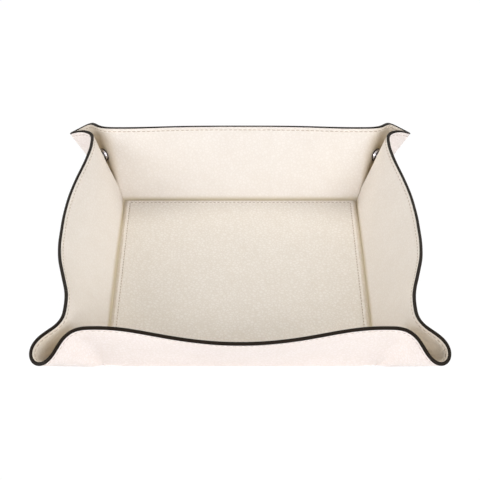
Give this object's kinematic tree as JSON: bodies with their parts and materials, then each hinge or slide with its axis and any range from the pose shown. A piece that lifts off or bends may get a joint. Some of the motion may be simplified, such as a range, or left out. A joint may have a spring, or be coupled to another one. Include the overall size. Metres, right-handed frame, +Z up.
{
  "type": "valet tray",
  "caption": "Square two-layer leather catch-all tray with bowed walls, corners pinched into snap-held spouts, black painted edges and a raised stitched base panel; it unfolds flat.",
  "frame": {"origin": "middle of the base's underside, on the table", "axes": "+Z up, -Y towards the front wall, +X to the right"},
  "size_m": [0.2774, 0.2774, 0.0584],
  "materials": {
    "outer_leather": "fine pebble grain, matt",
    "lining_leather": "fine pebble grain, matt",
    "edge_paint": "rounded black paint with a low gloss",
    "base_board": "bare pressed grey board",
    "snap_chrome": "polished",
    "snap_post": "plain"
  },
  "bodies": {
    "base": {"outer_base": "outer_leather", "base_board": "base_board", "lining_base": "lining_leather"},
    "front_wall": {"outer_front_wall": "outer_leather", "lining_front_wall": "lining_leather", "edge_front_wall": "edge_paint"},
    "back_wall": {"outer_back_wall": "outer_leather", "lining_back_wall": "lining_leather", "edge_back_wall": "edge_paint"},
    "left_wall": {"outer_left_wall": "outer_leather", "lining_left_wall": "lining_leather", "edge_left_wall": "edge_paint"},
    "right_wall": {"outer_right_wall": "outer_leather", "lining_right_wall": "lining_leather", "edge_right_wall": "edge_paint"},
    "front_left_front_half": {"outer_front_left_front_half": "outer_leather", "lining_front_left_front_half": "lining_leather", "edge_front_left_front_half": "edge_paint", "snap_socket_front_left": "snap_chrome", "snap_socket_post_front_left": "snap_post"},
    "front_right_front_half": {"outer_front_right_front_half": "outer_leather", "lining_front_right_front_half": "lining_leather", "edge_front_right_front_half": "edge_paint", "snap_socket_front_right": "snap_chrome", "snap_socket_post_front_right": "snap_post"},
    "back_left_back_half": {"outer_back_left_back_half": "outer_leather", "lining_back_left_back_half": "lining_leather", "edge_back_left_back_half": "edge_paint", "snap_socket_back_left": "snap_chrome", "snap_socket_post_back_left": "snap_post"},
    "back_right_back_half": {"outer_back_right_back_half": "outer_leather", "lining_back_right_back_half": "lining_leather", "edge_back_right_back_half": "edge_paint", "snap_socket_back_right": "snap_chrome", "snap_socket_post_back_right": "snap_post"},
    "front_left_left_half": {"outer_front_left_left_half": "outer_leather", "lining_front_left_left_half": "lining_leather", "edge_front_left_left_half": "edge_paint", "snap_stud_front_left": "snap_chrome", "snap_stud_post_front_left": "snap_post"},
    "back_left_left_half": {"outer_back_left_left_half": "outer_leather", "lining_back_left_left_half": "lining_leather", "edge_back_left_left_half": "edge_paint", "snap_stud_back_left": "snap_chrome", "snap_stud_post_back_left": "snap_post"},
    "front_right_right_half": {"outer_front_right_right_half": "outer_leather", "lining_front_right_right_half": "lining_leather", "edge_front_right_right_half": "edge_paint", "snap_stud_front_right": "snap_chrome", "snap_stud_post_front_right": "snap_post"},
    "back_right_right_half": {"outer_back_right_right_half": "outer_leather", "lining_back_right_right_half": "lining_leather", "edge_back_right_right_half": "edge_paint", "snap_stud_back_right": "snap_chrome", "snap_stud_post_back_right": "snap_post"}
  },
  "joints": [
    {"name": "front_wall_fold", "type": "hinge", "parent": "base", "child": "front_wall", "pos_m": [0, -0.095, 0.0012], "axis": [1, 0, 0], "range_deg": [0, 53]},
    {"name": "back_wall_fold", "type": "hinge", "parent": "base", "child": "back_wall", "pos_m": [0, 0.095, 0.0012], "axis": [-1, 0, 0], "range_deg": [0, 53]},
    {"name": "left_wall_fold", "type": "hinge", "parent": "base", "child": "left_wall", "pos_m": [-0.095, 0, 0.0012], "axis": [0, -1, 0], "range_deg": [0, 53]},
    {"name": "right_wall_fold", "type": "hinge", "parent": "base", "child": "right_wall", "pos_m": [0.095, 0, 0.0012], "axis": [0, 1, 0], "range_deg": [0, 53]},
    {"name": "front_left_front_half_unbend", "type": "hinge", "parent": "front_wall", "child": "front_left_front_half", "pos_m": [-0.095, -0.095, 0.0012], "axis": [0, 0.3681, -0.9298], "range_deg": [0, 33]},
    {"name": "front_right_front_half_unbend", "type": "hinge", "parent": "front_wall", "child": "front_right_front_half", "pos_m": [0.095, -0.095, 0.0012], "axis": [0, -0.3681, 0.9298], "range_deg": [0, 33]},
    {"name": "back_left_back_half_unbend", "type": "hinge", "parent": "back_wall", "child": "back_left_back_half", "pos_m": [-0.095, 0.095, 0.0012], "axis": [0, 0.3681, 0.9298], "range_deg": [0, 33]},
    {"name": "back_right_back_half_unbend", "type": "hinge", "parent": "back_wall", "child": "back_right_back_half", "pos_m": [0.095, 0.095, 0.0012], "axis": [0, -0.3681, -0.9298], "range_deg": [0, 33]},
    {"name": "front_left_left_half_unbend", "type": "hinge", "parent": "left_wall", "child": "front_left_left_half", "pos_m": [-0.095, -0.095, 0.0012], "axis": [-0.3681, 0, 0.9298], "range_deg": [0, 33]},
    {"name": "back_left_left_half_unbend", "type": "hinge", "parent": "left_wall", "child": "back_left_left_half", "pos_m": [-0.095, 0.095, 0.0012], "axis": [0.3681, 0, -0.9298], "range_deg": [0, 33]},
    {"name": "front_right_right_half_unbend", "type": "hinge", "parent": "right_wall", "child": "front_right_right_half", "pos_m": [0.095, -0.095, 0.0012], "axis": [-0.3681, 0, -0.9298], "range_deg": [0, 33]},
    {"name": "back_right_right_half_unbend", "type": "hinge", "parent": "right_wall", "child": "back_right_right_half", "pos_m": [0.095, 0.095, 0.0012], "axis": [0.3681, 0, 0.9298], "range_deg": [0, 33]}
  ],
  "couplings": [
    {"joint": "back_wall_fold", "follows": "front_wall_fold", "ratio": 1},
    {"joint": "left_wall_fold", "follows": "front_wall_fold", "ratio": 1},
    {"joint": "right_wall_fold", "follows": "front_wall_fold", "ratio": 1},
    {"joint": "front_left_front_half_unbend", "follows": "front_wall_fold", "ratio": 0.62},
    {"joint": "front_right_front_half_unbend", "follows": "front_wall_fold", "ratio": 0.62},
    {"joint": "back_left_back_half_unbend", "follows": "front_wall_fold", "ratio": 0.62},
    {"joint": "back_right_back_half_unbend", "follows": "front_wall_fold", "ratio": 0.62},
    {"joint": "front_left_left_half_unbend", "follows": "front_wall_fold", "ratio": 0.62},
    {"joint": "back_left_left_half_unbend", "follows": "front_wall_fold", "ratio": 0.62},
    {"joint": "front_right_right_half_unbend", "follows": "front_wall_fold", "ratio": 0.62},
    {"joint": "back_right_right_half_unbend", "follows": "front_wall_fold", "ratio": 0.62}
  ]
}
